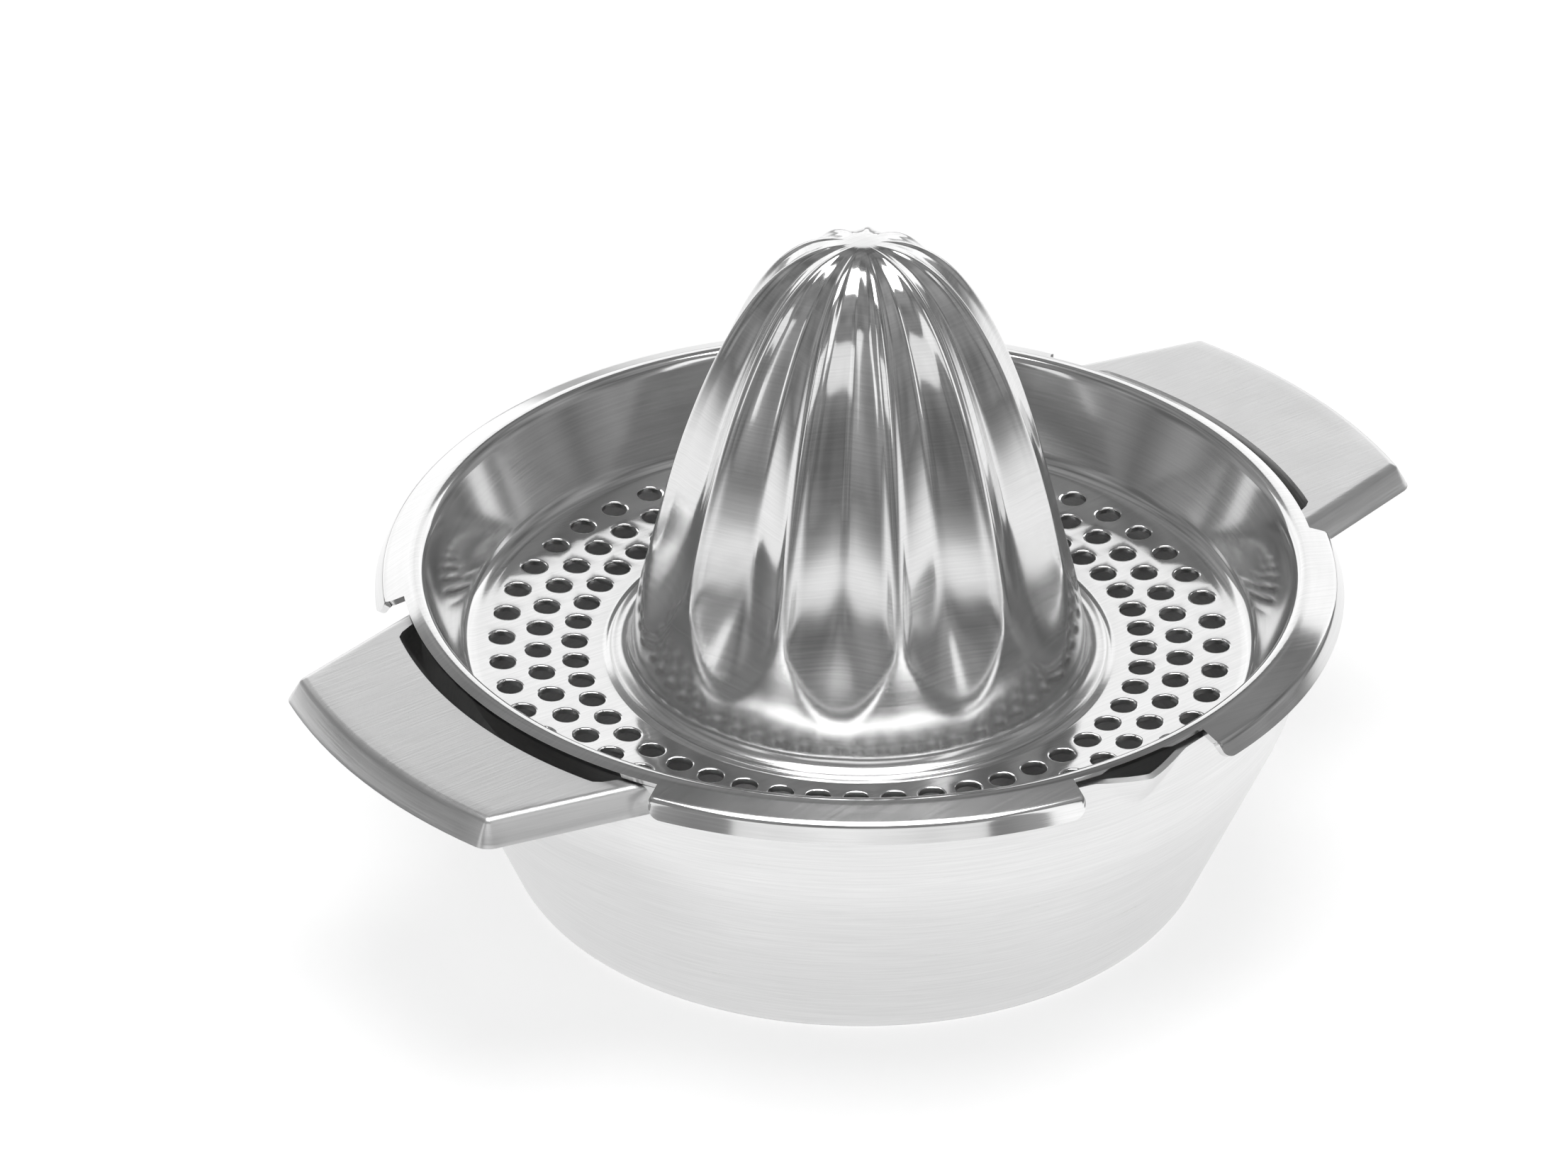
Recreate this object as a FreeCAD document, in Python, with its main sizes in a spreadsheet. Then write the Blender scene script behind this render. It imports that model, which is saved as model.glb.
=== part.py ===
"""Hand citrus juicer: a footless pressed-steel juice bowl with two flat wing
handles and a pouring lip, and a lift-out strainer whose middle rises into a
fluted reamer.

Frame: millimetres, +Z up. The origin is the middle of the flat base that stands
on the table. The handles lie along X and the pouring lip faces -Y.
"""
import FreeCAD
import Part
import Sketcher
import math
import os
import re
from FreeCAD import Vector

doc = FreeCAD.newDocument("citrus_juicer")

# ---------------------------------------------------------------------------
# Driving dimensions, in millimetres and degrees
# ---------------------------------------------------------------------------
DIMENSIONS = (
    ("gauge", 0.9, "thickness of both steel sheets"),
    # juice bowl
    ("base_radius", 51.0, "outer radius of the flat base"),
    ("base_corner", 1.6, "outer radius of the corner round the base"),
    ("shoulder_radius", 64.6, "outer radius where the cone turns upright"),
    ("shoulder_height", 32.6, "height of that turn"),
    ("rim_radius", 65.6, "outer radius of the plain cut rim"),
    ("rim_height", 46.1, "height of the rim and of the handle flats"),
    # wing handles
    ("handle_reach", 87.0, "radius of the handle's outer face"),
    ("handle_root", 32.3, "half width of the handle where its sides would meet handle_start"),
    ("handle_start", 52.0, "distance from the axis at which handle_root is taken"),
    ("handle_taper", 13.6, "angle at which each side runs in towards the tip"),
    ("handle_drop", 3.7, "depth of the edge turned down all round the handle"),
    ("throat_radius", 68.8, "inner radius at which the handle's flat begins"),
    ("throat_height", 37.4, "height at which the wall starts to flare under the handle"),
    ("throat_angle", 51.0, "angle that the flare spans"),
    # pouring lip
    ("lip_reach", 67.8, "distance of the lip's tip from the axis"),
    ("lip_width", 22.6, "width of the lip along the rim"),
    ("lip_height", 39.5, "height of the bottom of the lip's crease"),
    # strainer dish
    ("floor_height", 33.4, "height of the strainer's floor"),
    ("floor_radius", 57.0, "radius at which the floor meets the dish wall"),
    ("floor_round", 2.6, "radius of the corner between floor and wall"),
    ("wall_radius", 63.1, "radius of the top of the dish wall"),
    ("wall_height", 47.1, "height of the top of the dish wall"),
    ("crest_radius", 64.3, "radius of the highest line of the dish"),
    ("crest_height", 47.8, "height of that line"),
    ("flange_radius", 65.6, "radius at which the sloping flange starts"),
    ("flange_height", 47.5, "height at which it starts"),
    ("fold_radius", 68.9, "radius of the fold above the skirt"),
    ("fold_height", 46.3, "height of the fold"),
    ("skirt_radius", 70.15, "radius of the skirt's lower edge"),
    ("skirt_height", 44.0, "height of the skirt's lower edge"),
    ("handle_notch_angle", 57.0, "angle over which the flange is cut back at each handle"),
    ("handle_notch_radius", 66.4, "radius it is cut back to there"),
    ("lip_notch_angle", 20.0, "angle over which the flange is cut back at the lip"),
    ("lip_notch_radius", 65.9, "radius it is cut back to there"),
    # strainer holes
    ("hole_radius", 1.85, "radius of every strainer hole"),
    ("inner_ring", 41.4, "radius of the inner ring of holes"),
    ("middle_ring", 46.7, "radius of the middle ring"),
    ("outer_ring", 52.0, "radius of the outer ring"),
    ("ring_count", 48, "holes in each ring"),
    # reamer
    ("reamer_radius", 33.4, "radius of the reamer's ridges at the floor"),
    ("reamer_rise", 66.5, "height of the reamer above the floor"),
    ("dome_top_power", 1.149, "power of the height in the dome's outline"),
    ("dome_side_power", 0.4, "power of the radius in the dome's outline"),
    ("flute_count", 11, "flutes round the reamer"),
    ("flute_depth", 3.2, "depth of a flute below its ridges"),
    ("flute_foot", 4.5, "height above the floor where the flutes run out"),
    ("flute_growth", 13, "height over which they grow to full depth"),
    ("flute_fade", 30, "ridge radius above which they get shallower again"),
    ("point_share", 0.97, "share of the reamer's height at which its smooth point starts"),
    ("ridge_turn", -17.9, "angle of the first ridge from the +X handle"),
    ("root_radius", 36.6, "radius of the small bead round the reamer's root"),
    ("root_rise", 1.6, "height of that bead"),
)

sheet = doc.addObject("Spreadsheet::Sheet", "Sizes")
sheet.set("A1", "name")
sheet.set("B1", "value")
sheet.set("C1", "meaning")
for row, (alias, value, meaning) in enumerate(DIMENSIONS, start=2):
    sheet.set(f"A{row}", alias)
    sheet.set(f"B{row}", str(value))
    sheet.set(f"C{row}", meaning)
    sheet.setAlias(f"B{row}", alias)
doc.recompute()


def size(alias):
    """A driving dimension as a plain number."""
    return float(sheet.get(alias))


# ---------------------------------------------------------------------------
# Small helpers
# ---------------------------------------------------------------------------
def make_body(name):
    """A PartDesign body whose label is the sub-part's name."""
    body = doc.addObject("PartDesign::Body", name)
    body.Label = name
    return body


def origin_item(body, role):
    """One of the body's own origin planes or axes."""
    for item in body.Origin.OriginFeatures:
        if item.Role == role:
            return item
    raise ValueError(f"{body.Name} has no {role}")


def make_sketch(body, name, plane, height="0"):
    """An empty sketch on an origin plane, raised along the plane's normal by a formula."""
    sketch = body.newObject("Sketcher::SketchObject", name)
    sketch.AttachmentSupport = (origin_item(body, plane), "")
    sketch.MapMode = "FlatFace"
    sketch.setExpression("AttachmentOffset.Base.z", height)
    return sketch


def formula(text):
    """Spell a formula's dimension names as references to the sheet."""
    known = {alias for alias, _, _ in DIMENSIONS}
    return re.sub("[a-z_]+", lambda word: f"Sizes.{word[0]}" if word[0] in known else word[0], text)


def bind(sketch, words, text):
    """Add a constraint, given as its words and present value, and tie it to a formula."""
    index = sketch.addConstraint(Sketcher.Constraint(*words))
    sketch.setExpression(f"Constraints[{index}]", formula(text))


def pin_point(sketch, edge, end, x_text, y_text):
    """Tie one end of a sketch edge to two formulas of the driving dimensions."""
    for kind, text in (("DistanceX", x_text), ("DistanceY", y_text)):
        value = float(sketch.evalExpression(formula(text)))
        bind(sketch, (kind, -1, 1, edge, end, value), text)


def add_outline(sketch, corners):
    """A closed outline of straight edges through corners given as pairs of formulas."""
    points = []
    for x_text, y_text in corners:
        x = float(sketch.evalExpression(formula(x_text)))
        y = float(sketch.evalExpression(formula(y_text)))
        points.append(Vector(x, y, 0))
    count = len(points)
    for i in range(count):
        sketch.addGeometry(Part.LineSegment(points[i], points[(i + 1) % count]), False)
    for i in range(count):
        sketch.addConstraint(Sketcher.Constraint("Coincident", i, 2, (i + 1) % count, 1))
    for i, (x_text, y_text) in enumerate(corners):
        pin_point(sketch, i, 1, x_text, y_text)
    return sketch


def turn(body, name, kind, sketch, degrees=None):
    """Revolve or groove a sketch about the body's Z axis, all round or over an angle."""
    feature = body.newObject(kind, name)
    feature.Profile = sketch
    feature.ReferenceAxis = (origin_item(body, "Z_Axis"), [""])
    feature.Angle = 360.0
    if degrees:
        feature.Midplane = True
        feature.setExpression("Angle", f"Sizes.{degrees}")
    body.Tip = feature
    return feature


def ring_of(body, name, features, count):
    """Repeat features evenly about the body's Z axis and make the result the body's tip."""
    pattern = body.newObject("PartDesign::PolarPattern", name)
    pattern.Originals = features
    pattern.Axis = (origin_item(body, "Z_Axis"), [""])
    pattern.Angle = 360.0
    if isinstance(count, str):
        pattern.setExpression("Occurrences", f"Sizes.{count}")
    else:
        pattern.Occurrences = count
    body.Tip = pattern
    return pattern


def edge_names(shape, test):
    """Names of a shape's edges whose middle point passes a test."""
    names = []
    for i, edge in enumerate(shape.Edges, start=1):
        middle = edge.valueAt((edge.FirstParameter + edge.LastParameter) / 2)
        if test(middle):
            names.append(f"Edge{i}")
    return names


def round_off(body, name, radius_text, test):
    """Round the edges of the body's tip that pass a test."""
    doc.recompute()
    base = body.Tip
    fillet = body.newObject("PartDesign::Fillet", name)
    fillet.Base = (base, edge_names(base.Shape, test))
    fillet.setExpression("Radius", formula(radius_text))
    body.Tip = fillet
    return fillet


def volume_now(body):
    """The body's volume as it stands, for checking that a cut really cuts."""
    doc.recompute()
    return body.Shape.Volume


# ---------------------------------------------------------------------------
# Juice bowl: one sheet, pressed to a cone with an upright band at the top
# ---------------------------------------------------------------------------
def build_bowl():
    """The bowl, with its two wing handles and its pouring lip in the same sheet."""
    bowl = make_body("juice_bowl")

    # The whole outer form first, as a solid.
    outer = make_sketch(bowl, "bowl_outer_profile", "XZ_Plane")
    add_outline(outer, (
        ("0", "0"),
        ("base_radius", "0"),
        ("shoulder_radius", "shoulder_height"),
        ("rim_radius", "rim_height"),
        ("0", "rim_height"),
    ))
    turn(bowl, "bowl_outer", "PartDesign::Revolution", outer)

    # A wing handle: a flat blade whose sides run in towards a rounded outer edge.
    add_handle(bowl)

    # The wall flares outwards below each handle and meets its flat in a crisp edge.
    flare = make_sketch(bowl, "throat_outer_profile", "XZ_Plane")
    add_outline(flare, (
        ("base_radius", "throat_height"),
        ("shoulder_radius + 0.2", "throat_height"),
        ("throat_radius + gauge", "rim_height - gauge"),
        ("throat_radius + gauge", "rim_height"),
        ("base_radius", "rim_height"),
    ))
    outer_flare = turn(bowl, "throat_outer", "PartDesign::Revolution", flare, "throat_angle")
    ring_of(bowl, "throat_outer_pair", [outer_flare], 2)

    # The pouring lip is a small pointed fold half way between the handles.
    add_lip(bowl, "lip_outer", "PartDesign::AdditiveLoft", "0")

    # Hollow it all out, leaving one gauge of sheet.
    solid_volume = volume_now(bowl)
    inner = make_sketch(bowl, "bowl_inner_profile", "XZ_Plane")
    add_outline(inner, (
        ("0", "gauge"),
        ("base_radius - gauge", "gauge"),
        ("shoulder_radius - gauge * 1.05", "shoulder_height"),
        ("rim_radius - gauge", "rim_height"),
        ("rim_radius - gauge", "rim_height + 5"),
        ("0", "rim_height + 5"),
    ))
    turn(bowl, "bowl_inner", "PartDesign::Groove", inner)
    hollow_volume = volume_now(bowl)
    assert hollow_volume < 0.5 * solid_volume, "the bowl was not hollowed"

    flare = make_sketch(bowl, "throat_inner_profile", "XZ_Plane")
    add_outline(flare, (
        ("base_radius", "throat_height"),
        ("rim_radius - gauge * 1.5", "throat_height"),
        ("throat_radius", "rim_height"),
        ("throat_radius", "rim_height + 5"),
        ("base_radius", "rim_height + 5"),
    ))
    inner_flare = turn(bowl, "throat_inner", "PartDesign::Groove", flare, "throat_angle")
    ring_of(bowl, "throat_inner_pair", [inner_flare], 2)
    throat_volume = volume_now(bowl)
    assert throat_volume < hollow_volume - 100, "the throats were not cut"

    add_lip(bowl, "lip_inner", "PartDesign::SubtractiveLoft", "gauge")
    assert volume_now(bowl) < throat_volume - 10, "the lip was not cut"

    round_off(bowl, "base_round", "base_corner",
              lambda p: p.z < 0.01 and abs(math.hypot(p.x, p.y) - size("base_radius")) < 0.01)
    return bowl


def handle_sketch(bowl, name, height, inset, inner_radius):
    """The plan of the +X handle, drawn in from its outer faces by an inset: an outer
    and an inner arc about the bowl's axis, joined by two sides that close together."""
    sketch = make_sketch(bowl, name, "XY_Plane", formula(height))
    taper = math.radians(size("handle_taper"))
    sides_out = f"handle_root * cos(handle_taper) + handle_start * sin(handle_taper) - {inset}"
    reach_out = f"handle_reach - {inset}"
    offset = float(sketch.evalExpression(formula(sides_out)))
    reach = float(sketch.evalExpression(formula(reach_out)))
    near = float(sketch.evalExpression(formula(inner_radius)))

    def side_angle(radius):
        """Angle about the axis at which a side crosses a circle."""
        return math.asin(offset / radius) - taper

    def arc(radius):
        """A circle's stretch between the two sides."""
        half = side_angle(radius)
        return Part.ArcOfCircle(Part.Circle(Vector(0, 0, 0), Vector(0, 0, 1), radius), -half, half)

    def place(radius, sign):
        """The end of a side on a circle."""
        half = side_angle(radius) * sign
        return Vector(radius * math.cos(half), radius * math.sin(half), 0)

    outer, inner = (sketch.addGeometry(arc(radius), False) for radius in (reach, near))
    left, right = (sketch.addGeometry(Part.LineSegment(place(near, sign), place(reach, sign)), False)
                   for sign in (1, -1))
    for item in (outer, inner):
        sketch.addConstraint(Sketcher.Constraint("Coincident", item, 3, -1, 1))
    for line, end in ((right, 1), (left, 2)):
        sketch.addConstraint(Sketcher.Constraint("Coincident", line, 1, inner, end))
        sketch.addConstraint(Sketcher.Constraint("Coincident", line, 2, outer, end))
    bind(sketch, ("Radius", outer, reach), reach_out)
    bind(sketch, ("Radius", inner, near), inner_radius)
    for line, sign in ((left, -1), (right, 1)):
        bind(sketch, ("Distance", -1, 1, line, offset), sides_out)
        bind(sketch, ("Angle", line, sign * taper), f"{sign} * handle_taper * 1 deg")
    return sketch


def add_handle(bowl):
    """Both wing handles: a flat blade with its edge turned down all round."""
    blade = bowl.newObject("PartDesign::Pad", "handle_blade")
    blade.Profile = handle_sketch(bowl, "handle_plan", "rim_height - handle_drop", "0", "base_radius")
    blade.setExpression("Length", formula("handle_drop"))
    ring_of(bowl, "handle_blades", [blade], 2)

    full_volume = volume_now(bowl)
    under = bowl.newObject("PartDesign::Pocket", "handle_underside")
    under.Profile = handle_sketch(bowl, "handle_underside_plan", "rim_height - handle_drop",
                                  "gauge", "rim_radius - gauge * 0.5")
    under.Reversed = True
    under.setExpression("Length", formula("handle_drop - gauge"))
    ring_of(bowl, "handle_undersides", [under], 2)
    assert volume_now(bowl) < full_volume - 2000, "the handles were not hollowed"


def add_lip(bowl, name, kind, inset):
    """The pouring lip: a pointed fold that grows from a point on the wall to the rim."""
    low = make_sketch(bowl, f"{name}_foot", "XY_Plane", formula("lip_height"))
    add_outline(low, (
        ("-0.3", "-(shoulder_radius - 1.2)"),
        ("0.3", "-(shoulder_radius - 1.2)"),
        ("0", f"-(shoulder_radius + 0.5 - {inset})"),
    ))
    high = make_sketch(bowl, f"{name}_mouth", "XY_Plane", formula("rim_height"))
    add_outline(high, (
        (f"-(lip_width / 2 - {inset} * 0.2)", "-(rim_radius - 1.4)"),
        (f"lip_width / 2 - {inset} * 0.2", "-(rim_radius - 1.4)"),
        ("0", f"-(lip_reach - {inset})"),
    ))
    loft = bowl.newObject(kind, name)
    loft.Profile = low
    loft.Sections = [high]
    loft.Ruled = True
    bowl.Tip = loft


# ---------------------------------------------------------------------------
# Strainer: a dished and perforated ring that hangs from the bowl's rim
# ---------------------------------------------------------------------------
def build_dish():
    """The strainer without its reamer: floor, wall, rolled crest, flange and skirt."""
    dish = make_body("strainer_dish")
    section = make_sketch(dish, "dish_profile", "XZ_Plane")
    add_outline(section, (
        ("0", "floor_height"),
        ("floor_radius", "floor_height"),
        ("wall_radius", "wall_height"),
        ("crest_radius", "crest_height"),
        ("flange_radius", "flange_height"),
        ("fold_radius", "fold_height"),
        ("skirt_radius", "skirt_height"),
        ("skirt_radius - gauge", "skirt_height"),
        ("fold_radius - gauge * 0.8", "fold_height - gauge * 0.8"),
        ("flange_radius - gauge * 0.3", "flange_height - gauge"),
        ("crest_radius", "crest_height - gauge * 1.1"),
        ("wall_radius + gauge * 0.7", "wall_height - gauge * 0.9"),
        ("floor_radius + gauge * 0.7", "floor_height - gauge"),
        ("0", "floor_height - gauge"),
    ))
    turn(dish, "dish", "PartDesign::Revolution", section)
    round_off(dish, "floor_corner", "floor_round",
              lambda p: abs(p.z - size("floor_height")) < 0.01
              and abs(math.hypot(p.x, p.y) - size("floor_radius")) < 0.01)

    # Three rings of holes; the middle ring is half a pitch round from the others.
    for ring, half_pitches in (("inner_ring", 0), ("middle_ring", 1), ("outer_ring", 0)):
        before = volume_now(dish)
        plan = make_sketch(dish, f"{ring}_hole", "XY_Plane", formula("floor_height"))
        turn_text = f"({half_pitches} * 180 / ring_count)"
        across = f"{ring} * cos{turn_text}"
        along = f"{ring} * sin{turn_text}"
        centre = Vector(*(float(plan.evalExpression(formula(text))) for text in (across, along)), 0)
        hole = plan.addGeometry(Part.Circle(centre, Vector(0, 0, 1), size("hole_radius")), False)
        bind(plan, ("Radius", hole, size("hole_radius")), "hole_radius")
        pin_point(plan, hole, 3, across, along)
        pocket = dish.newObject("PartDesign::Pocket", f"{ring}_cut")
        pocket.Profile = plan
        pocket.setExpression("Length", formula("gauge * 2"))
        ring_of(dish, f"{ring}_holes", [pocket], "ring_count")
        one_hole = math.pi * size("hole_radius") ** 2 * size("gauge")
        cut = before - volume_now(dish)
        assert abs(cut / (one_hole * size("ring_count")) - 1) < 0.02, f"{ring} is not cut through"

    # The flange and skirt stop short beside both handles and over the pouring lip.
    for notch, plane, side, count in (("handle_notch", "XZ_Plane", 1, 2), ("lip_notch", "YZ_Plane", -1, 1)):
        before = volume_now(dish)
        cut = make_sketch(dish, f"{notch}_profile", plane)
        add_outline(cut, (
            (f"{side} * {notch}_radius", "skirt_height - 2"),
            (f"{side} * (skirt_radius + 2)", "skirt_height - 2"),
            (f"{side} * (skirt_radius + 2)", "crest_height + 2"),
            (f"{side} * {notch}_radius", "crest_height + 2"),
        ))
        groove = turn(dish, notch, "PartDesign::Groove", cut, f"{notch}_angle")
        if count > 1:
            ring_of(dish, f"{notch}_set", [groove], count)
        assert volume_now(dish) < before - 30, f"the {notch} was not cut"
    return dish


def reamer_radius_at(rise, radius, height):
    """Radius of the reamer's ridges: steep at the foot, closing to a blunt point."""
    return radius * (1 - (rise / height) ** size("dome_top_power")) ** size("dome_side_power")


def reamer_form(name, inset, foot):
    """A solid with the reamer's fluted form, drawn in by an inset all round.

    Each level is a closed curve through the ridges, the flutes' flanks and their
    bottoms. The flutes grow from nothing at the foot and die out again at the point."""
    radius = size("reamer_radius") - inset
    height = size("reamer_rise") - inset
    flutes = int(size("flute_count"))
    shares = (0.15, 0.27, 0.4, 0.55, 0.7, 0.82, 0.91, size("point_share"))
    levels = [foot, 0.5, size("flute_foot")] + [height * share for share in shares]
    across_flute = (0, 0.62, 1, 0.62)
    steps = flutes * len(across_flute)
    wires = []
    for rise in levels:
        ridge = reamer_radius_at(max(rise, 0), radius, height)
        growth = min(max((rise - size("flute_foot")) / size("flute_growth"), 0), 1)
        depth = size("flute_depth") * growth * min(1, ridge / size("flute_fade"))
        points = []
        for step in range(steps):
            angle = math.radians(size("ridge_turn")) + 2 * math.pi * step / steps
            here = ridge - depth * across_flute[step % len(across_flute)]
            level = size("floor_height") + rise
            points.append(Vector(here * math.cos(angle), here * math.sin(angle), level))
        curve = Part.BSplineCurve()
        curve.interpolate(Points=points, PeriodicFlag=True)
        wires.append(Part.Wire(curve.toShape()))
    form = doc.addObject("Part::Feature", name)
    form.Shape = Part.makeLoft(wires, True, False)
    return form


def reamer_point():
    """The blunt point that closes the reamer above its flutes, a little inside its ridges."""
    inside = 0.4
    height = size("reamer_rise")
    start = height * size("point_share")
    across = reamer_radius_at(start, size("reamer_radius"), height) - inside
    point = doc.addObject("Part::Ellipsoid", "reamer_point")
    point.Radius1 = height - start
    point.Radius2 = across
    point.Radius3 = across
    point.Angle1 = 0
    point.Angle2 = 90
    point.Placement.Base = Vector(0, 0, size("floor_height") + start)
    return point


def root_bead():
    """The low bead round the foot of the reamer."""
    bead = doc.addObject("Part::Cone", "root_bead")
    bead.setExpression("Radius1", formula("root_radius"))
    bead.setExpression("Radius2", formula("reamer_radius - 0.4"))
    bead.setExpression("Height", formula("root_rise"))
    bead.setExpression("Placement.Base.z", formula("floor_height"))
    return bead


def build_strainer():
    """The whole strainer: the dish joined to its hollow reamer."""
    dish = build_dish()
    outer = reamer_form("reamer_outer", 0, -size("gauge") * 0.5)
    inner = reamer_form("reamer_hollow", size("gauge"), -size("gauge") * 2)
    joined = doc.addObject("Part::MultiFuse", "dish_and_reamer")
    joined.Shapes = [dish, outer, reamer_point(), root_bead()]
    strainer = doc.addObject("Part::Cut", "strainer_insert")
    strainer.Base = joined
    strainer.Tool = inner
    strainer.Label = "strainer_insert"
    return strainer


# ---------------------------------------------------------------------------
# Build, check and write
# ---------------------------------------------------------------------------
def main():
    """Build both pieces, check every object, and write one file for each piece."""
    pieces = [build_bowl(), build_strainer()]
    doc.recompute()
    for item in doc.Objects:
        for state in ("Invalid", "Error"):
            assert state not in item.State, f"{item.Name} is {state}"
    os.makedirs("parts", exist_ok=True)
    for piece in pieces:
        shape = piece.Shape
        assert not shape.isNull() and shape.isValid(), f"{piece.Label} is not valid"
        assert len(shape.Solids) == 1, f"{piece.Label} is not one solid"
        shape.exportStep(f"parts/{piece.Label}.step")
        box = shape.optimalBoundingBox(False, False)
        print(f"{piece.Label}: {box.XLength:.1f} x {box.YLength:.1f} x {box.ZLength:.1f} mm, "
              f"{shape.Volume / 1000:.1f} cm3")
    clash = pieces[0].Shape.common(pieces[1].Shape).Volume
    assert clash < 0.01, f"the pieces overlap by {clash:.2f} mm3"


main()
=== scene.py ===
# %% [markdown]
# # A hand citrus juicer of pressed steel
#
# The real juicer is two pieces of sheet steel. A satin bowl has two flat wing
# handles and a small pouring lip, and a mirror-polished strainer with a fluted
# reamer hangs in it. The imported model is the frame: it gives every overall size.
# Each piece could be bent from a CAD solid, but pressed sheet is a thin skin whose
# curves flow into each other, so both are worked out here as surfaces with numpy.

# %% Load the frame
import math

import bpy
import numpy as np
from mathutils import Matrix, Vector


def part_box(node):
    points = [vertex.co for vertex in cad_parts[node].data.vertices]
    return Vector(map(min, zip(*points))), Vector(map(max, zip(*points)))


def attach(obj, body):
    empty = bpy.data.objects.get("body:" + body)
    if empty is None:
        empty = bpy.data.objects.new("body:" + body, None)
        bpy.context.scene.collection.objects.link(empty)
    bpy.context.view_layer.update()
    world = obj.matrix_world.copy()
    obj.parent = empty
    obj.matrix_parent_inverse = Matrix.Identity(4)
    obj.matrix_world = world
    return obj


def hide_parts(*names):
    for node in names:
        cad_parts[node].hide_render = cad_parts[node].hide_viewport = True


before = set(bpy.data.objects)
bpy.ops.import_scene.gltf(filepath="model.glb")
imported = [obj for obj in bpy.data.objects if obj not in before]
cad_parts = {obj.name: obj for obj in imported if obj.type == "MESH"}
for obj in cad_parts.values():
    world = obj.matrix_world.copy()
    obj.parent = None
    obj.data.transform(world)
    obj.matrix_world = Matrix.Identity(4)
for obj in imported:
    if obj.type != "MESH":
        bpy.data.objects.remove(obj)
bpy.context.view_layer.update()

MM = 0.001
bowl_high = np.array(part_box("juice_bowl")[1]) / MM
RIM_HEIGHT = bowl_high[2]
HANDLE_REACH = bowl_high[0]
REAMER_TOP = np.array(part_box("strainer_insert")[1])[2] / MM
print("rim at", round(RIM_HEIGHT, 2), "mm, reamer's point at", round(REAMER_TOP, 2), "mm")

# %% [markdown]
# ## The strainer's section
#
# On the real strainer one disc of steel is drawn up into the reamer and down into
# the dish. The section could be a spline, but a press leaves straight runs and
# round corners, so it is straight runs with an arc of its own radius at each corner.
# Every size below is in millimetres or degrees.

# %% The floor
FLOOR_HEIGHT = 33.4
FLOOR_SLOPE = 0.045
FLOOR_MIDDLE = 46.7
CELL_EDGES = (38.75, 44.05, 49.35, 54.65)


def floor_height(radius):
    """The floor is a very shallow cone: its height grows by FLOOR_SLOPE for each step outwards."""
    return FLOOR_HEIGHT + FLOOR_SLOPE * (radius - FLOOR_MIDDLE)


print("the floor rises", round(floor_height(CELL_EDGES[-1]) - floor_height(CELL_EDGES[0]), 2), "mm outwards")

# %% The dish
ARC_STEP = 0.05


def rounded_path(corners, radii):
    """Points along straight runs through corners, each corner replaced by an arc of its radius.

    The arc touches each run at radius / tan(half the angle between the runs) from the corner."""
    corners = np.array(corners, float)
    path = [corners[0]]
    for before, corner, after, radius in zip(corners, corners[1:], corners[2:], radii):
        u = (before - corner) / np.linalg.norm(before - corner)
        v = (after - corner) / np.linalg.norm(after - corner)
        half = 0.5 * math.acos(np.clip(u @ v, -1, 1))
        reach = radius / math.tan(half)
        centre = corner + (u + v) / np.linalg.norm(u + v) * radius / math.sin(half)
        start = corner + u * reach - centre
        end = corner + v * reach - centre
        sweep = math.pi - 2 * half
        turn = np.linspace(0, 1, max(3, int(radius * sweep / ARC_STEP)))[:, None]
        path.extend(centre + (np.sin((1 - turn) * sweep) * start + np.sin(turn * sweep) * end)
                    / math.sin(sweep))
    path.append(corners[-1])
    return np.array(path)


def lengths_along(path):
    """The length of a path up to each of its points."""
    return np.concatenate([[0], np.cumsum(np.linalg.norm(np.diff(path, axis=0), axis=1))])


dish_path = rounded_path(
    ((CELL_EDGES[-1], floor_height(CELL_EDGES[-1])), (57.2, floor_height(57.2)),
     (63.6, FLOOR_HEIGHT + 14.82), (68.95, FLOOR_HEIGHT + 12.88), (70.15, FLOOR_HEIGHT + 10.6)),
    (2.6, 1.5, 1.0))
DISH_LENGTH = lengths_along(dish_path)[-1]
print("the dish's section is", round(DISH_LENGTH, 1), "mm long")

# %% [markdown]
# ## The fluted reamer
#
# The real reamer is a blunt dome with eleven scooped flutes. Each flute ends below in
# a pointed petal, and where two flutes meet a narrow bead stands up and stops in a
# small nub. Eleven cutters could scoop a plain dome, but the beads and soft edges are
# easier as one formula: a radius for each height, less the flute's depth there.

# %% The dome
REAMER_RADIUS = 33.4
REAMER_RISE = REAMER_TOP - FLOOR_HEIGHT
ROOT_RISE = 3.0


def along(path, distances):
    """Points at given distances along a path."""
    lengths = lengths_along(path)
    return np.stack([np.interp(distances, lengths, path[:, i]) for i in range(path.shape[1])], axis=-1)


def dome_section(count):
    """Rows of (radius, rise) at even steps along the dome from its point down to ROOT_RISE.

    The rise is REAMER_RISE * (1 - share^2.5)^0.87, where share is the part of the full radius."""
    share = np.linspace(0, 1, 2000)
    rise = REAMER_RISE * (1 - share ** 2.5) ** 0.87
    curve = np.stack([REAMER_RADIUS * share, rise], axis=-1)
    curve = curve[rise >= ROOT_RISE]
    return along(curve, np.linspace(0, lengths_along(curve)[-1], count))


print("the dome goes down to a radius of", round(dome_section(2)[-1, 0], 2), "mm")

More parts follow.
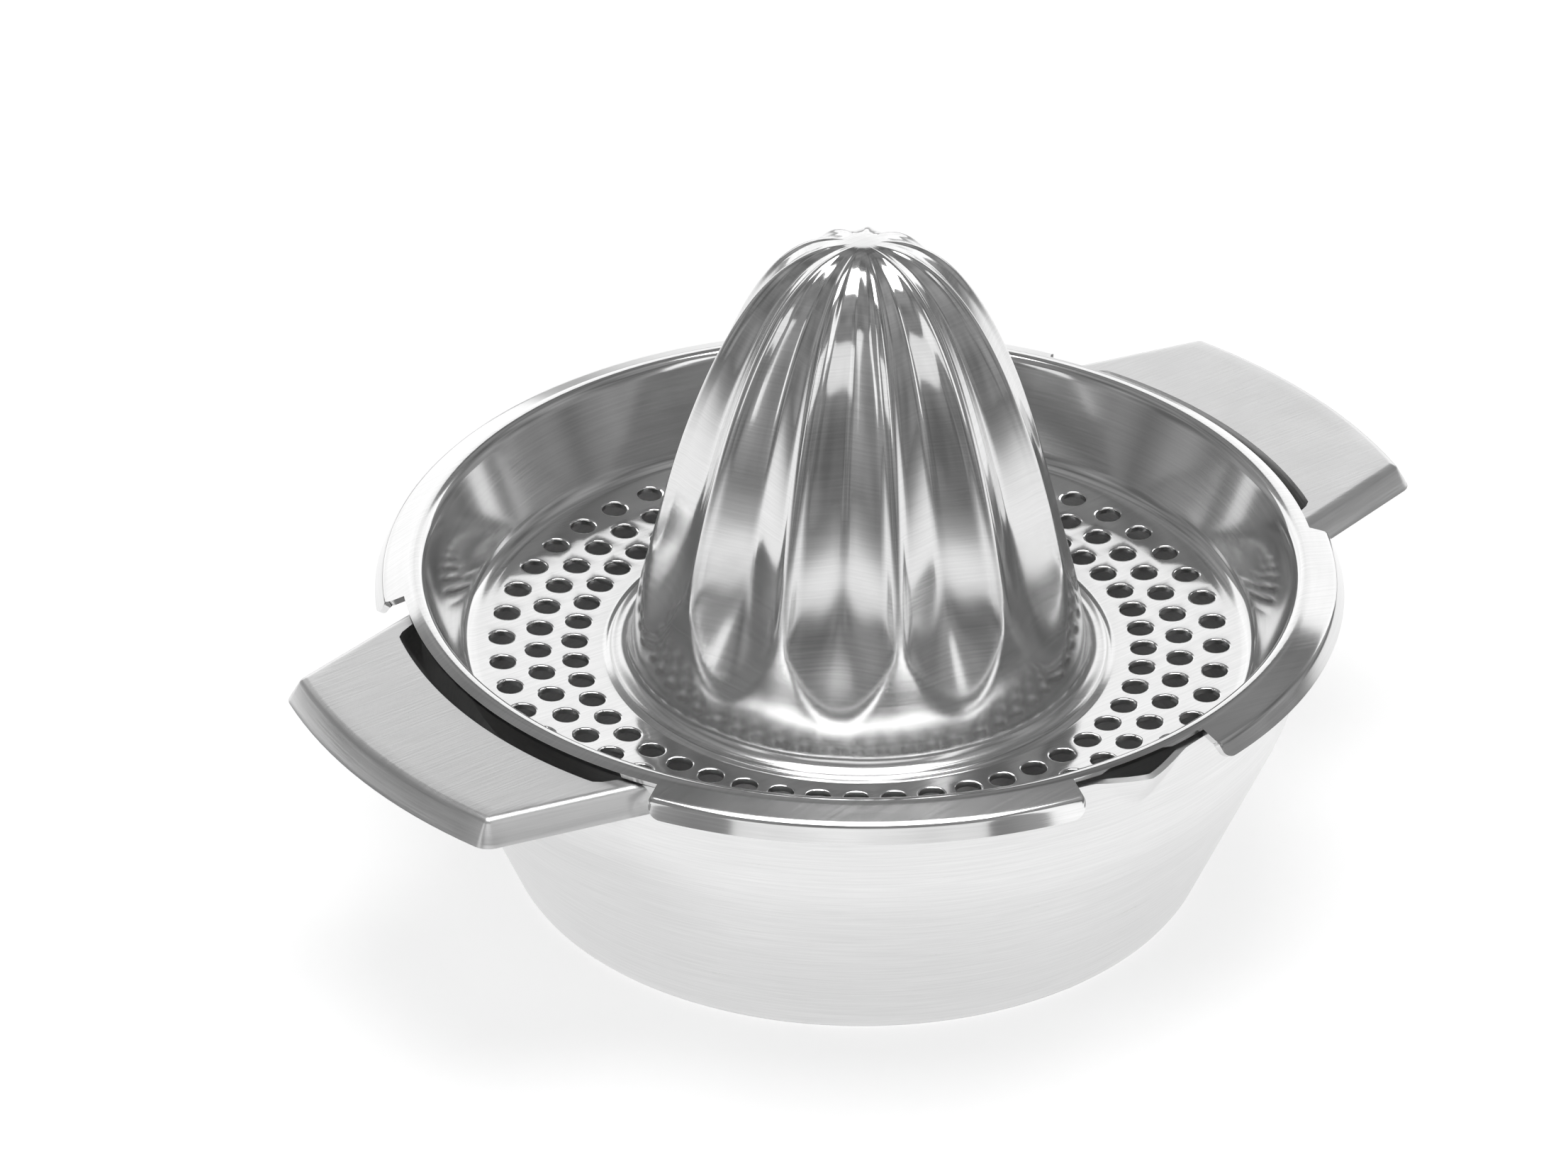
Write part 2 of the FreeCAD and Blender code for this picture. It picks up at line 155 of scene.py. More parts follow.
# %% The flutes
FLUTES = 11
RIDGE_TURN = -17.9
FLUTE_DEPTH = 0.108
FLUTE_FOOT = 4.5
FLUTE_FULL = 26.0
WIDEST_FLUTE = REAMER_RADIUS * 0.91
CREASE_WIDTH = 0.05
SCOOP_WIDTH = 0.7
PETAL_SOFTNESS = 0.3
PETAL_POWER = 2.2
BEAD_HEIGHT = 0.5
BEAD_WIDTH = 1.25
BEAD_FULL_RADIUS = 16
BEAD_LEAST = 0.05
NUB_RISE = 15.0
NUB_LENGTH = 3.5
SINK_LEAD = 10
SINK_LENGTH = 18
TIP_RADIUS = 2.0
TIP_BLEND = 4.0


def smoothstep(x):
    """0 below 0, 1 above 1, and 3x^2 - 2x^3 between."""
    x = np.clip(x, 0.0, 1.0)
    return x * x * (3.0 - 2.0 * x)


def soft_positive(x, softness):
    """x where it is positive and 0 elsewhere, rounded over the softness: (x + sqrt(x^2 + s^2)) / 2."""
    return 0.5 * (x + np.sqrt(x * x + softness * softness))


def scoop(x, crease):
    """A V from 0 to 1 with a rounded crease: (sqrt(x^2 + crease^2) - crease), scaled to 1 at x = 1."""
    return (np.sqrt(x ** 2 + crease ** 2) - crease) / (np.sqrt(1 + crease ** 2) - crease)


def flute_cut(radius, rise, angle, bead_height):
    """How far the flutes and the beads' sides lie inside the dome, in millimetres.

    A flute is a V, FLUTE_DEPTH of the radius deep, with a crease that widens below into a
    round scoop. From FLUTE_FOOT up it opens as 1 - (1 - share)^PETAL_POWER, so that below
    it narrows to the petal's point. A bead is a flat-topped bell curve across each ridge:
    the metal beside it sinks by its height. That is quick at the nub and slow, from lower
    down, in the middle of a flute. Flutes and beads die out at the dome's point."""
    pitch = 360 / FLUTES
    offset = (angle - RIDGE_TURN + pitch / 2) % pitch - pitch / 2
    inward = 1 - np.abs(offset) / (pitch / 2)
    crease = CREASE_WIDTH + SCOOP_WIDTH * (1 - smoothstep((rise - FLUTE_FOOT) / FLUTE_FULL))
    depth = FLUTE_DEPTH * np.minimum(radius, WIDEST_FLUTE)
    share = (rise - FLUTE_FOOT) / (FLUTE_FULL - FLUTE_FOOT)
    opening = np.where(share > 0, 1 - (1 - np.clip(share, 0, 1)) ** PETAL_POWER, PETAL_POWER * share)
    cut = depth * (np.sign(opening) * scoop(opening, crease) - scoop(inward, crease))
    cut = soft_positive(cut, PETAL_SOFTNESS) - PETAL_SOFTNESS / 2 * smoothstep(share)
    cut = np.maximum(cut, 0) * (1 - smoothstep(-share * 3))
    sideways = np.radians(np.abs(offset)) * radius
    bead = np.exp(-(sideways / (BEAD_WIDTH * np.clip(radius / BEAD_FULL_RADIUS, BEAD_LEAST, 1))) ** 4)
    beside = smoothstep(1.5 * (1 - inward))
    bead_share = smoothstep((rise - NUB_RISE + SINK_LEAD * beside) / (NUB_LENGTH + SINK_LENGTH * beside))
    return (cut + bead_height * bead_share * (1 - bead)) * smoothstep((radius - TIP_RADIUS) / TIP_BLEND)


deepest = flute_cut(30.0, 30.0, RIDGE_TURN + 180 / FLUTES, BEAD_HEIGHT)
print("a flute is", round(float(deepest), 2), "mm deep at a radius of 30 mm")

# %% The columns of points round the reamer
COLUMNS = 288
RIDGE_EASE = 0.55
even_angles = np.arange(COLUMNS) * 360 / COLUMNS


def spaced(stops, ease):
    """Angles through stops given as (angle, columns up to the next stop), crowded towards each stop.

    Between two stops the step is t - ease * sin(2 pi t) / (2 pi)."""
    angles = []
    for (start, count), (end, _) in zip(stops, stops[1:]):
        t = np.arange(count) / count
        t = t - ease * np.sin(2 * np.pi * t) / (2 * np.pi)
        angles.append(start + (end - start) * t)
    return np.concatenate(angles)


ridge_columns = np.round(np.arange(FLUTES + 1) * COLUMNS / FLUTES).astype(int)
ridge_steps = np.append(np.diff(ridge_columns), 0)
ridge_stops = [(RIDGE_TURN + 360 / FLUTES * k, int(step)) for k, step in enumerate(ridge_steps)]
ridge_angles = np.roll(spaced(ridge_stops, RIDGE_EASE), round(RIDGE_TURN / (360 / COLUMNS)))
ridge_shift = (ridge_angles - even_angles + 180) % 360 - 180
print("columns move by up to", round(np.abs(ridge_shift).max(), 2), "degrees to meet the ridges")

# %% The reamer's skin
DOME_ROWS = 62


def grid_faces(rows, columns, closed):
    """Quads of a grid of points stored row by row, joined end to end if closed."""
    row, column = np.meshgrid(np.arange(rows - 1), np.arange(columns - (not closed)), indexing="ij")
    beside = (column + 1) % columns
    corners = (row * columns + column, row * columns + beside,
               (row + 1) * columns + beside, (row + 1) * columns + column)
    return np.stack(corners, axis=-1).reshape(-1, 4)


def turned(radius, height, angle):
    """Points at a radius, height and angle in degrees about the Z axis."""
    angle = np.radians(angle)
    return np.stack(np.broadcast_arrays(radius * np.cos(angle), radius * np.sin(angle), height), axis=-1)


def dome_skin(bead_height):
    """The reamer's skin: the dome's radius less the flutes, on rows and crowded columns."""
    section = dome_section(DOME_ROWS)
    radius, rise = section[:, :1], section[:, 1:]
    angle = (even_angles + ridge_shift)[None, :]
    cut = flute_cut(radius, rise, angle, bead_height)
    points = turned(np.maximum(radius - cut, 0), FLOOR_HEIGHT + rise, angle)
    return points.reshape(-1, 3), grid_faces(DOME_ROWS, COLUMNS, True)[:, ::-1]


print("the reamer's skin has", len(dome_skin(BEAD_HEIGHT)[0]), "points")

# %% [markdown]
# ## Root, floor and dish
#
# Round the real reamer's root runs a fine bead, and then the floor with its three
# rings of drain holes. Cutting 144 holes with a boolean leaves ragged triangles
# that show in a mirror finish. Here each hole has a cell of its own: four sides
# of the cell are joined to the round edge by rings of quads, and cells tile a ring.

# %% The reamer's root
ROOT_ROWS = 20


def root_skin():
    """The reamer's foot: a fillet, a fine raised bead and the first of the floor.

    The columns slide from the ridges' crowded angles back to even ones on the way, and
    what is left of the flutes fades out with them."""
    start = dome_section(2)[-1]
    path = rounded_path(((start[0], FLOOR_HEIGHT + start[1]), (33.5, FLOOR_HEIGHT - 0.42),
                         (35.9, FLOOR_HEIGHT - 0.42), (36.4, FLOOR_HEIGHT + 0.02),
                         (37.0, floor_height(37.0)), (CELL_EDGES[0], floor_height(CELL_EDGES[0]))),
                        (2.3, 0.35, 0.3, 0.35))
    rows = along(path, np.linspace(0, lengths_along(path)[-1], ROOT_ROWS))
    fade = 1 - smoothstep(np.linspace(0, 1, ROOT_ROWS))[:, None]
    angles = even_angles + fade * ridge_shift
    start_cut = flute_cut(start[None, :1], start[None, 1:], angles[:1], 0.0)
    points = turned(rows[:, :1] - start_cut * fade ** 2, rows[:, 1:], angles)
    return points.reshape(-1, 3), grid_faces(ROOT_ROWS, COLUMNS, True)[:, ::-1]


print("the root's skin has", len(root_skin()[0]), "points")

# %% The drain holes
RINGS = (41.4, 46.7, 52.0)
HOLE_RADIUS = 1.85
HOLES = 48
HOLE_LOOPS = (0.0, 0.05, 0.16, 0.34)
HOLE_DIPS = (0.27, 0.09, 0.01, 0.0, 0.0)


def hole_cells(ring, inner, outer, half_pitch):
    """One ring of cells, each a ring of quads from a round hole to the cell's four sides.

    Six points lie on each side. The loops near the hole dip to round its edge over."""
    per_side = COLUMNS // HOLES
    turn = 360 / HOLES
    t = np.arange(per_side) / per_side
    zero, one = np.zeros(per_side), np.ones(per_side)
    side_angle = np.concatenate([t, one, 1 - t, zero]) - 0.5
    side_radius = np.concatenate([zero, t, one, 1 - t])
    radius = inner + (outer - inner) * side_radius
    angle = side_angle * turn
    sides = np.stack([radius * np.cos(np.radians(angle)), radius * np.sin(np.radians(angle))], axis=-1)
    centre = np.array([ring, 0.0])
    out = sides - centre
    out /= np.linalg.norm(out, axis=1, keepdims=True)
    loops = [centre + out * (HOLE_RADIUS + step) for step in HOLE_LOOPS] + [sides]
    cells = []
    for k in range(HOLES):
        middle = np.radians((k + half_pitch / 2) * turn)
        spin = np.array([[np.cos(middle), np.sin(middle)], [-np.sin(middle), np.cos(middle)]])
        flat = np.concatenate([loop @ spin for loop in loops])
        reach = np.hypot(flat[:, 0], flat[:, 1])
        height = floor_height(reach) - np.repeat(HOLE_DIPS, 4 * per_side)
        cells.append((np.column_stack([flat, height]), grid_faces(len(loops), 4 * per_side, True)))
    return cells


print(len(RINGS) * HOLES, "drain holes of", 2 * HOLE_RADIUS, "mm")

# %% The columns round the flange
HANDLE_NOTCH = 27.9
LIP_NOTCH = 10.0
SKIRT_EASE = 0.82
SKIRT_RUNS = ((22, 122), (166, 208), (224, 266))


def four_ways(root, root_columns, lip, lip_columns, side_columns):
    """Columns once round, with stops at the handles' roots and both sides of each end of the Y axis."""
    half = root_columns // 2
    stops = [(0, half), (root, side_columns), (90 - lip, lip_columns), (90 + lip, side_columns),
             (180 - root, root_columns), (180 + root, side_columns), (270 - lip, lip_columns),
             (270 + lip, side_columns), (360 - root, half), (360, 0)]
    return spaced(stops, 0.0)


def eased_between(angles, first, last, ease):
    """Crowd a run of columns towards both of its ends, with the formula of spaced."""
    start, end = angles[first], angles[last]
    eased = angles.copy()
    eased[first:last] = spaced([(start, last - first), (end, 0)], ease)
    return eased


notch_angles = four_ways(HANDLE_NOTCH, 44, LIP_NOTCH, 16, 42)
for first, last in SKIRT_RUNS:
    notch_angles = eased_between(notch_angles, first, last, SKIRT_EASE)
notch_shift = (notch_angles - even_angles + 180) % 360 - 180
print("the skirt stands on", sum(last - first for first, last in SKIRT_RUNS), "of", COLUMNS, "columns")

# %% The dish and its flange
LIP_NOTCH_RADIUS = 65.5
HANDLE_NOTCH_RADIUS = 66.3
SKIRT_CORNER = 2.2
SKIRT_RADIUS = 70
DISH_ROWS = 28
SKIRT_ROWS = 15


def turned_patch(rows, angles, closed=True):
    """A patch from (radius, height) rows, turned to every angle; angles may differ row by row."""
    columns = np.shape(angles)[-1]
    points = turned(rows[:, :1], rows[:, 1:], np.broadcast_to(angles, (len(rows), columns)))
    return points.reshape(-1, 3), grid_faces(len(rows), columns, closed)[:, ::-1]


def length_at_radius(radius):
    """How far along the dish's path a radius is reached."""
    return float(np.interp(radius, dish_path[:, 0], lengths_along(dish_path)))


def dish_skin():
    """The dish from the last ring of holes outwards, its flange cut back at the handles and the lip.

    Columns slide from even angles on the floor to the notches' own angles at the crest. Each
    run of skirt is shorter at its ends by a quarter circle's rise, which rounds its corners."""
    to_lip = length_at_radius(LIP_NOTCH_RADIUS)
    to_handle = length_at_radius(HANDLE_NOTCH_RADIUS)
    steps = np.linspace(0, to_lip, DISH_ROWS)
    blend = smoothstep((steps / to_lip - 0.1) / 0.75)[:, None]
    patches = [turned_patch(along(dish_path, steps), even_angles + blend * notch_shift)]
    columns_past_lip = np.arange(SKIRT_RUNS[-1][0], SKIRT_RUNS[1][1] + 1 + COLUMNS) % COLUMNS
    rows = along(dish_path, np.linspace(to_lip, to_handle, 3))
    patches.append(turned_patch(rows, (even_angles + notch_shift)[columns_past_lip], closed=False))
    for first, last in SKIRT_RUNS:
        angles = (even_angles + notch_shift)[first:last + 1]
        edge = np.radians(np.minimum(angles - angles[0], angles[-1] - angles)) * SKIRT_RADIUS
        inset = np.clip(SKIRT_CORNER - edge, 0, None)
        corner = SKIRT_CORNER - np.sqrt(SKIRT_CORNER ** 2 - inset ** 2)
        share = np.linspace(0, 1, SKIRT_ROWS)[:, None]
        reach = to_handle + share * (DISH_LENGTH - to_handle - corner[None, :])
        section = along(dish_path, reach.ravel()).reshape(SKIRT_ROWS, len(angles), 2)
        points = turned(section[..., 0], section[..., 1], angles[None, :]).reshape(-1, 3)
        patches.append((points, grid_faces(SKIRT_ROWS, len(angles), False)[:, ::-1]))
    return patches


print("the dish is", len(dish_skin()), "patches")

# %% [markdown]
# ## Putting the strainer together
#
# Pressed sheet can be drawn as one skin and thickened afterwards. A Solidify
# modifier would do that, but round a drain hole it would splay the walls, so the
# back skin is worked out here. It is the same patches without the beads, stepped
# back along their normals by the sheet's thickness, and on the floor straight down,
# so that the holes stay round. A strip closes each open edge.

# %% Weld the patches
WELD_SHIFT = 0.00013


def weld(patches):
    """One set of points and quads from (points, quads) patches, with points that coincide made one.

    Coordinates are compared after rounding to a thousandth of a millimetre, and are
    first shifted by WELD_SHIFT so that round values don't fall between two roundings."""
    points = np.concatenate([patch[0] for patch in patches])
    starts = np.cumsum([0] + [len(patch[0]) for patch in patches[:-1]])
    quads = np.concatenate([patch[1] + start for patch, start in zip(patches, starts)])
    rounded = np.round(points + WELD_SHIFT, 3)
    _, first, inverse = np.unique(rounded, axis=0, return_index=True, return_inverse=True)
    quads = inverse.reshape(-1)[quads]
    crossed = (quads[:, 0] == quads[:, 2]) | (quads[:, 1] == quads[:, 3])
    return points[first], quads[~crossed], first


def strainer_patches(bead_height):
    """Every patch of the strainer's skin, from the reamer outwards."""
    patches = [dome_skin(bead_height), root_skin()]
    for index, ring in enumerate(RINGS):
        patches += hole_cells(ring, CELL_EDGES[index], CELL_EDGES[index + 1], index % 2)
    return patches + dish_skin()


welded_points, welded_quads, kept_points = weld(strainer_patches(BEAD_HEIGHT))
print("the strainer's skin is", len(welded_points), "points and", len(welded_quads), "quads")

# %% Thickness
GAUGE = 0.9
SHARP_TURN = 38


def point_normals(points, quads):
    """Unit normals at the points: the sum of each quad's diagonal cross product round a point."""
    a, b, c, d = (points[quads[:, i]] for i in range(4))
    face = np.cross(c - a, d - b)
    total = np.zeros_like(points)
    for i in range(4):
        np.add.at(total, quads[:, i], face)
    return total / np.maximum(np.linalg.norm(total, axis=1, keepdims=True), 1e-12)


def open_edges(quads):
    """The directed edges that only one quad has: (from, to) pairs."""
    edges = np.concatenate([quads[:, [i, (i + 1) % 4]] for i in range(4)])
    edges = edges[edges[:, 0] != edges[:, 1]]
    ordered = np.sort(edges, axis=1)
    _, index, count = np.unique(ordered, axis=0, return_index=True, return_counts=True)
    return edges[index[count == 1]]


def sheet_metal(name, front, back, quads):
    """A mesh object of closed sheet: a front skin, a back skin turned over, and strips round its edges."""
    count = len(front)
    edges = open_edges(quads)
    strips = np.stack([edges[:, 1], edges[:, 0], edges[:, 0] + count, edges[:, 1] + count], axis=1)
    points = np.concatenate([front, back]) * MM
    faces = np.concatenate([quads, quads[:, ::-1] + count, strips])
    folded = (faces == np.roll(faces, -1, axis=1)).any(axis=1)
    polygons = faces[~folded].tolist()
    polygons += [list(dict.fromkeys(face)) for face in faces[folded].tolist()]
    mesh = bpy.data.meshes.new(name)
    mesh.from_pydata(points.tolist(), [], [face for face in polygons if len(face) > 2])
    mesh.validate()
    mesh.shade_smooth()
    mesh.set_sharp_from_angle(angle=math.radians(SHARP_TURN))
    piece = bpy.data.objects.new(name, mesh)
    bpy.context.scene.collection.objects.link(piece)
    print(name, "has", len(mesh.polygons), "faces")
    return piece


print("the strainer's skin has", len(open_edges(welded_quads)), "open edges")

# %% Make the strainer
FLAT_START = 37.6
BACK_INSET = 0.25


def strainer_back(front, smooth, quads):
    """The strainer's back skin, one gauge behind the skin without beads.

    On the reamer and its root that skin is first drawn in by BACK_INSET. On the flat floor
    the step is straight down, and on the dish it follows the front skin's normals."""
    reach = np.hypot(front[:, 0], front[:, 1])
    drawn_in = smooth.copy()
    drawn_in[:, :2] *= (1 - BACK_INSET / np.maximum(np.hypot(smooth[:, 0], smooth[:, 1]), 5))[:, None]
    back = drawn_in - GAUGE * point_normals(drawn_in, quads)
    on_dish = reach > CELL_EDGES[-1] - 0.01
    on_floor = (reach > FLAT_START) & ~on_dish & (front[:, 2] < FLOOR_HEIGHT + 1)
    back[on_floor] = front[on_floor]
    back[on_floor, 2] = floor_height(reach[on_floor]) - GAUGE
    back[on_dish] = (front - GAUGE * point_normals(front, quads))[on_dish]
    return back


smooth_points = np.concatenate([patch[0] for patch in strainer_patches(0.0)])[kept_points]
strainer = sheet_metal("strainer_sheet", welded_points,
                       strainer_back(welded_points, smooth_points, welded_quads), welded_quads)

# %% [markdown]
# ## The juice bowl
#
# The real bowl is one pressing too. Its wall is a cone that turns upright at the
# top. At each handle the wall flares out and folds over into a flat, whose edge is
# turned down. At the -Y end a small point is pushed out as a lip. A solid bowl cut
# hollow would lose that fold, so the bowl is a skin as well: its inside, which runs
# over the fold onto the handle's top, and a second skin one gauge behind it.

# %% Where the handles' sides run
BASE_RADIUS = 50.1
WALL_PATH = rounded_path(((0, GAUGE), (BASE_RADIUS, GAUGE), (63.65, 32.4), (64.72, RIM_HEIGHT)), (1.2, 31.0))
RIM_RADIUS = WALL_PATH[-1, 0]
SIDE_START = (52.0, 32.3)
SIDE_TAPER = math.radians(13.6)
BEND_REACH = 2.9


def side_point(offset, distance):
    """A point of the +Y side, at an offset outwards from the bend's start and a distance along it."""
    along_side = np.array([math.cos(SIDE_TAPER), -math.sin(SIDE_TAPER)])
    outwards = np.array([math.sin(SIDE_TAPER), math.cos(SIDE_TAPER)])
    return np.array(SIDE_START) + outwards * (offset - BEND_REACH) + along_side * distance


def side_root(offset):
    """How far along a side, at an offset, the middle of the rim's sheet is met."""
    start = side_point(offset, 0.0)
    direction = side_point(offset, 1.0) - start
    inside = start @ start - (RIM_RADIUS + GAUGE / 2) ** 2
    along_start = start @ direction
    return -along_start + math.sqrt(max(along_start ** 2 - inside, 0.0))


root_end = side_point(0.0, side_root(0.0))
ROOT_TURN = math.degrees(math.atan2(root_end[1], root_end[0]))
print("each handle spans", round(2 * ROOT_TURN, 1), "degrees of the rim")

# %% The lip and the throats
LIP_AT = 270
LIP_HEIGHT = 39.3
FOLD_PUSH = 1.95
FOLD_TURN = 6.5
FOLD_SOFTNESS = 0.05
SWELL_PUSH = 0.6
SWELL_TURN = 7.5
THROAT_HEIGHT = 37.4
THROAT_REACH = 68.7
THROAT_TURN = ROOT_TURN - 0.6
THROAT_FADE = 4.5
THROAT_POWER = 1.25


def lip_push(angle, height):
    """How far the pouring lip stands out of the wall.

    A sharp fold is FOLD_PUSH times (share - offset / FOLD_TURN) where that is positive, with
    share growing from the crease's foot to the rim. A softer bell-shaped swell lies round it."""
    offset = np.abs(angle % 360 - LIP_AT)
    share = np.clip((height - LIP_HEIGHT) / (RIM_HEIGHT - LIP_HEIGHT), 0, 1)
    fold = soft_positive(share - offset / FOLD_TURN, FOLD_SOFTNESS)
    swell = np.exp(-(offset / SWELL_TURN) ** 2) * smoothstep(share)
    return FOLD_PUSH * fold + SWELL_PUSH * swell


def throat_push(angle, height):
    """How far the wall flares under a handle: the share of height above THROAT_HEIGHT to THROAT_POWER."""
    offset = np.abs((angle + 90) % 180 - 90)
    share = np.clip((height - THROAT_HEIGHT) / (RIM_HEIGHT - THROAT_HEIGHT), 0, 1)
    flare = (THROAT_REACH - RIM_RADIUS) * share ** THROAT_POWER
    return flare * smoothstep((THROAT_TURN - offset) / THROAT_FADE)


print("the lip stands out by", round(float(lip_push(LIP_AT, RIM_HEIGHT)), 2), "mm")

# %% The wall
ROOT_COLUMNS = 52
LIP_TURN = 12.0
BOWL_COLUMNS = four_ways(ROOT_TURN, ROOT_COLUMNS, LIP_TURN, 28, 32)
BAND_HEIGHT = 10.5
LIP_DIP = 0.55
LIP_DIP_TURN = 5


def wall_skin():
    """The bowl's inside from the middle of its base to the rim, with rows closer near the rim.

    The rim dips by a bell curve of LIP_DIP at the lip, fading out down to the crease's foot."""
    total = lengths_along(WALL_PATH)[-1]
    band = total - BAND_HEIGHT
    distances = np.concatenate([np.linspace(0, BASE_RADIUS - 3, 8),
                                np.linspace(BASE_RADIUS - 1.5, BASE_RADIUS + 3, 9),
                                np.linspace(BASE_RADIUS + 5, band, 22)[:-1],
                                np.linspace(band, total, 22)])
    rows = along(WALL_PATH, distances)
    radius, height = rows[:, :1], rows[:, 1:]
    angle = BOWL_COLUMNS[None, :]
    reach = radius + lip_push(angle, height) + throat_push(angle, height)
    dip = LIP_DIP * np.exp(-((angle - LIP_AT) / LIP_DIP_TURN) ** 2)
    level = height - dip * smoothstep((height - LIP_HEIGHT) / (RIM_HEIGHT - LIP_HEIGHT))
    points = turned(reach, level, np.broadcast_to(angle, reach.shape))
    return points.reshape(-1, 3), grid_faces(len(rows), len(BOWL_COLUMNS), True)[:, ::-1]


print("the wall's skin has", len(wall_skin()[0]), "points")

# %% [markdown]
# ## The wing handles
#
# The real handle is the sheet itself, folded flat and then turned down round three
# sides. A pad with bevelled edges would look solid, so the handle is a skin: one
# direction runs round the edge from root to root, the other from the throat over
# the flat, round the bend and down to the cut edge.

# %% The turned-down edge
BEND_RADIUS = 1.45
BEND_TURN = 64
DROP = 3.7
CURL = ((0.33, 0.62), (0.22, 0.33), (0.0, 0.0))


def edge_section():
    """(reach outwards from the bend's start, drop) down the turned-down edge.

    A soft bend, a straight fall that leans out by what the bend lacks of a right angle,
    and a faint outward curl, whose points are given back and up from the cut's corner."""
    bend = np.radians(np.linspace(0, BEND_TURN, 9))
    curve = np.stack([BEND_RADIUS * np.sin(bend), BEND_RADIUS * (1 - np.cos(bend))], axis=-1)
    return np.concatenate([curve, np.array([BEND_REACH, DROP]) - CURL])


print("the edge's section has", len(edge_section()), "points")

# %% The handle's skin
CORNER_STEPS = 7
ARC_STEPS = 9
FLAT_ROWS = 9
SIDE_STEPS = ROOT_COLUMNS // 2 + 3 - CORNER_STEPS - ARC_STEPS


def side_end():
    """How far along its bend's start a side meets the handle's outer arc, by halving a range."""
    low, high = 0.0, 60.0
    for _ in range(60):
        middle = (low + high) / 2
        meets = np.hypot(*side_point(0.0, middle)) < HANDLE_REACH - BEND_REACH
        low, high = (middle, high) if meets else (low, middle)
    return low


def edge_line(offset):
    """One line round the handle at an offset from the bend's start, from the +Y root to the -Y root.

    It goes along the +Y side, fans round the corner, follows the outer arc and comes back
    mirrored."""
    first, last = side_root(offset), side_end()
    corner = side_point(0.0, last)
    corner_angle = math.atan2(corner[1], corner[0])
    side = [side_point(offset, first + (last - first) * t) for t in np.linspace(0, 1, SIDE_STEPS)]
    turn = np.linspace(math.pi / 2 - SIDE_TAPER, corner_angle, CORNER_STEPS)[1:-1]
    fan = [corner + offset * np.array([math.cos(a), math.sin(a)]) for a in turn]
    arc = [(HANDLE_REACH - BEND_REACH + offset) * np.array([math.cos(a), math.sin(a)])
           for a in np.linspace(corner_angle, 0, ARC_STEPS)]
    half = np.array(side + fan + arc)
    return np.concatenate([half, half[-2::-1] * (1, -1)])


def handle_skin(way):
    """One handle, at the +X end for way 1 and turned half round for way -1."""
    half = ROOT_COLUMNS // 2
    angles = BOWL_COLUMNS[np.arange(half, -half - 1, -1) % len(BOWL_COLUMNS)]
    throat = turned(RIM_RADIUS + throat_push(angles, RIM_HEIGHT) + lip_push(angles, RIM_HEIGHT), 0.0, angles)
    start = edge_line(0.0)
    level = np.full(len(start), RIM_HEIGHT)
    rows = [np.column_stack([throat[:, :2] + (start - throat[:, :2]) * share, level])
            for share in np.linspace(0, 1, FLAT_ROWS)]
    rows += [np.column_stack([edge_line(offset), level - drop]) for offset, drop in edge_section()[1:]]
    points = np.array(rows) * (way, way, 1)
    return points.reshape(-1, 3), grid_faces(len(rows), len(start), False)


print("a handle's skin has", len(handle_skin(1)[0]), "points")

# %% Make the bowl
bowl_points, bowl_quads, _ = weld([wall_skin(), handle_skin(1), handle_skin(-1)])
bowl = sheet_metal("bowl_sheet", bowl_points,
                   bowl_points - GAUGE * point_normals(bowl_points, bowl_quads), bowl_quads)

# %% [markdown]
# ## Steel finishes
#
# The real bowl is satin: a belt has left fine lines round its wall. The strainer
# is polished like a mirror, but pressed sheet is never quite flat, so what it
# reflects is gently bent. Two separate materials would repeat the same nodes, so
# one node group makes fine lines, a soft waviness and a roughness that varies, and
# each finish has its own amount of each.

# %% A node group for marks in steel
ROUND_LINES = (90, 90, 3600)
LEVEL_LINES = (110, 2800, 110)
WAVE_SCALE = 46.0
PATCH_SCALE = 120.0
TINT_CHANGE = 0.24
TINT_LEAST = 0.88
MARKS_SOCKETS = (("Place", "Vector", "INPUT"), ("Line height", "Float", "INPUT"),
                 ("Wave height", "Float", "INPUT"), ("Roughness", "Float", "INPUT"),
                 ("Roughness change", "Float", "INPUT"), ("Height", "Float", "OUTPUT"),
                 ("Surface roughness", "Float", "OUTPUT"), ("Tint", "Float", "OUTPUT"))


def maths(tree, operation, *values):
    """A Math node on numbers or sockets; gives its output."""
    node = tree.nodes.new("ShaderNodeMath")
    node.operation = operation
    for socket, value in zip(node.inputs, values):
        if isinstance(value, (int, float)):
            socket.default_value = value
        else:
            tree.links.new(value, socket)
    return node.outputs[0]


def noise(tree, place, scale, detail):
    """A soft noise at a place; gives its grey value."""
    node = tree.nodes.new("ShaderNodeTexNoise")
    node.inputs["Scale"].default_value = scale
    node.inputs["Detail"].default_value = detail
    tree.links.new(place, node.inputs["Vector"])
    return node.outputs["Fac"]


def lines(tree, place, scales):
    """Fine lines: noise squeezed by a scale for each axis."""
    squeeze = tree.nodes.new("ShaderNodeMapping")
    squeeze.inputs["Scale"].default_value = scales
    tree.links.new(place, squeeze.inputs["Vector"])
    return noise(tree, squeeze.outputs["Vector"], 1.0, 3.0)


